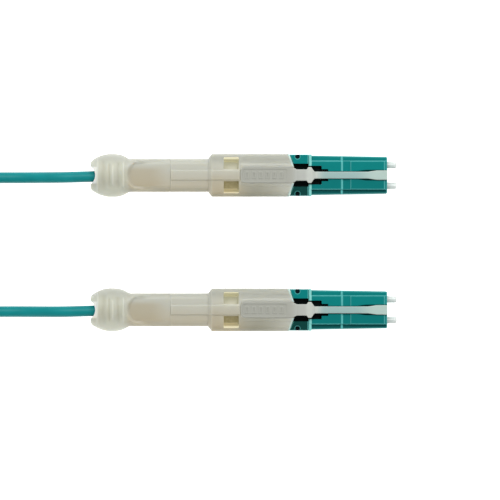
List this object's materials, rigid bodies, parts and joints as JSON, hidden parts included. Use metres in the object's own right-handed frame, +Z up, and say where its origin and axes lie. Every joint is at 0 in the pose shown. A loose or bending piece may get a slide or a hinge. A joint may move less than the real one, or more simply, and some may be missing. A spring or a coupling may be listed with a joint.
{
  "type": "fiber optic patch cord",
  "caption": "Duplex fiber optic patch cord: slim push-pull plugs with paired ceramic ferrules and ball-grip boots on a coiled round aqua cable.",
  "frame": {"origin": "on the resting surface, midway between the two plugs along and across, the cable left out", "axes": "+X along the plugs towards the ferrule tips, +Y across towards plug a, +Z up, out of the release arm side"},
  "size_m": [0.1232, 0.0474, 0.0092],
  "materials": {
    "zirconia": "polished white zirconia",
    "flange_metal": "turned, bare",
    "spring_steel": "drawn wire",
    "aqua_plastic": "moulded aqua, semi-gloss",
    "post_metal": "nickel-plated, turned",
    "aramid": "straight yellow yarn",
    "crimp_brass": "satin, hex crimped",
    "boot_plastic": "translucent natural white, satin",
    "arm_plastic": "stiff natural white, satin",
    "fibre": "acrylate coating",
    "cable_jacket": "aqua PVC jacket, satin",
    "tie_fabric": "black hook-and-loop"
  },
  "bodies": {
    "cord_and_shells": {"plug_frame_a": "aqua_plastic", "rear_housing_a": "aqua_plastic", "back_post_a": "post_metal", "aramid_yarn_a": "aramid", "crimp_ring_a": "crimp_brass", "fibre_left_a": "fibre", "fibre_right_a": "fibre", "ferrule_spring_left_a": "spring_steel", "ferrule_spring_right_a": "spring_steel", "return_spring_a": "spring_steel", "cord_tube_a": "cable_jacket", "plug_frame_b": "aqua_plastic", "rear_housing_b": "aqua_plastic", "back_post_b": "post_metal", "aramid_yarn_b": "aramid", "crimp_ring_b": "crimp_brass", "fibre_left_b": "fibre", "fibre_right_b": "fibre", "ferrule_spring_left_b": "spring_steel", "ferrule_spring_right_b": "spring_steel", "return_spring_b": "spring_steel", "cord_tube_b": "cable_jacket", "cord_coil": "cable_jacket", "coil_tie_front": "tie_fabric", "coil_tie_back": "tie_fabric"},
    "boot_a": {"pull_boot_a": "boot_plastic", "release_arm_a": "arm_plastic"},
    "ferrule_left_a": {"ferrule_left_a": "zirconia", "flange_left_a": "flange_metal"},
    "ferrule_right_a": {"ferrule_right_a": "zirconia", "flange_right_a": "flange_metal"},
    "boot_b": {"pull_boot_b": "boot_plastic", "release_arm_b": "arm_plastic"},
    "ferrule_left_b": {"ferrule_left_b": "zirconia", "flange_left_b": "flange_metal"},
    "ferrule_right_b": {"ferrule_right_b": "zirconia", "flange_right_b": "flange_metal"}
  },
  "joints": [
    {"name": "boot_pull_a", "type": "slide", "parent": "cord_and_shells", "child": "boot_a", "axis": [-1, 0, 0], "range_m": [0, 0.0018], "stiffness_N_per_m": 700, "springref_m": -0.0015, "deforming": ["return_spring_a"]},
    {"name": "ferrule_push_left_a", "type": "slide", "parent": "cord_and_shells", "child": "ferrule_left_a", "axis": [-1, 0, 0], "range_m": [0, 0.0008], "stiffness_N_per_m": 1200, "springref_m": -0.004, "deforming": ["ferrule_spring_left_a"]},
    {"name": "ferrule_push_right_a", "type": "slide", "parent": "cord_and_shells", "child": "ferrule_right_a", "axis": [-1, 0, 0], "range_m": [0, 0.0008], "stiffness_N_per_m": 1200, "springref_m": -0.004, "deforming": ["ferrule_spring_right_a"]},
    {"name": "boot_pull_b", "type": "slide", "parent": "cord_and_shells", "child": "boot_b", "axis": [-1, 0, 0], "range_m": [0, 0.0018], "stiffness_N_per_m": 700, "springref_m": -0.0015, "deforming": ["return_spring_b"]},
    {"name": "ferrule_push_left_b", "type": "slide", "parent": "cord_and_shells", "child": "ferrule_left_b", "axis": [-1, 0, 0], "range_m": [0, 0.0008], "stiffness_N_per_m": 1200, "springref_m": -0.004, "deforming": ["ferrule_spring_left_b"]},
    {"name": "ferrule_push_right_b", "type": "slide", "parent": "cord_and_shells", "child": "ferrule_right_b", "axis": [-1, 0, 0], "range_m": [0, 0.0008], "stiffness_N_per_m": 1200, "springref_m": -0.004, "deforming": ["ferrule_spring_right_b"]}
  ]
}
